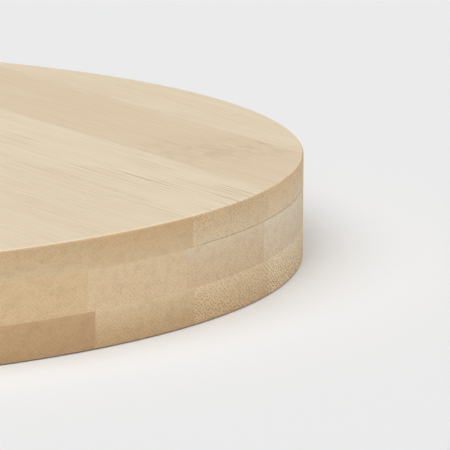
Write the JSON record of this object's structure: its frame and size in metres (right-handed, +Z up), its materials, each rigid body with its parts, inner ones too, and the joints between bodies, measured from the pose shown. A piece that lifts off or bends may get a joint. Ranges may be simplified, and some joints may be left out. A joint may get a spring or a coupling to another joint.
{
  "type": "lazy susan turntable",
  "caption": "Low round turntable: a layered bamboo platter that spins on a ring bearing sunk into its underside, standing on small rubber feet.",
  "frame": {"origin": "on the spin axis, on the surface that the rubber feet stand on", "axes": "+Z up along the spin axis; +X to the right and +Y away from a viewer at the front"},
  "size_m": [0.254, 0.254, 0.0199],
  "materials": {
    "bamboo": "sanded and sealed with a satin coat",
    "aluminium": "fine turned, clear anodised",
    "nylon": "moulded, satin",
    "ball_steel": "ground and polished",
    "screw_steel": "zinc plated",
    "rubber": "moulded, matte"
  },
  "bodies": {
    "base": {"inner_race_lower": "aluminium", "inner_race_upper": "aluminium", "foot_1": "rubber", "foot_2": "rubber", "foot_3": "rubber", "foot_4": "rubber", "foot_5": "rubber", "foot_6": "rubber"},
    "cage": {"ball_cage": "nylon", "ball_01": "ball_steel", "ball_02": "ball_steel", "ball_03": "ball_steel", "ball_04": "ball_steel", "ball_05": "ball_steel", "ball_06": "ball_steel", "ball_07": "ball_steel", "ball_08": "ball_steel", "ball_09": "ball_steel", "ball_10": "ball_steel", "ball_11": "ball_steel", "ball_12": "ball_steel", "ball_13": "ball_steel", "ball_14": "ball_steel", "ball_15": "ball_steel", "ball_16": "ball_steel", "ball_17": "ball_steel", "ball_18": "ball_steel", "ball_19": "ball_steel", "ball_20": "ball_steel", "ball_21": "ball_steel", "ball_22": "ball_steel", "ball_23": "ball_steel", "ball_24": "ball_steel"},
    "platter": {"platter_top_ply": "bamboo", "platter_core_ply": "bamboo", "platter_bottom_ply": "bamboo", "outer_race": "aluminium", "race_screw_1": "screw_steel", "race_screw_2": "screw_steel", "race_screw_3": "screw_steel", "race_screw_4": "screw_steel", "race_screw_5": "screw_steel", "race_screw_6": "screw_steel"}
  },
  "joints": [
    {"name": "platter_spin", "type": "hinge", "parent": "base", "child": "platter", "pos_m": [0, 0, 0.00585], "axis": [0, 0, 1], "continuous": true},
    {"name": "cage_spin", "type": "hinge", "parent": "base", "child": "cage", "pos_m": [0, 0, 0.00585], "axis": [0, 0, 1], "continuous": true}
  ],
  "couplings": [
    {"joint": "cage_spin", "follows": "platter_spin", "ratio": 0.513}
  ]
}
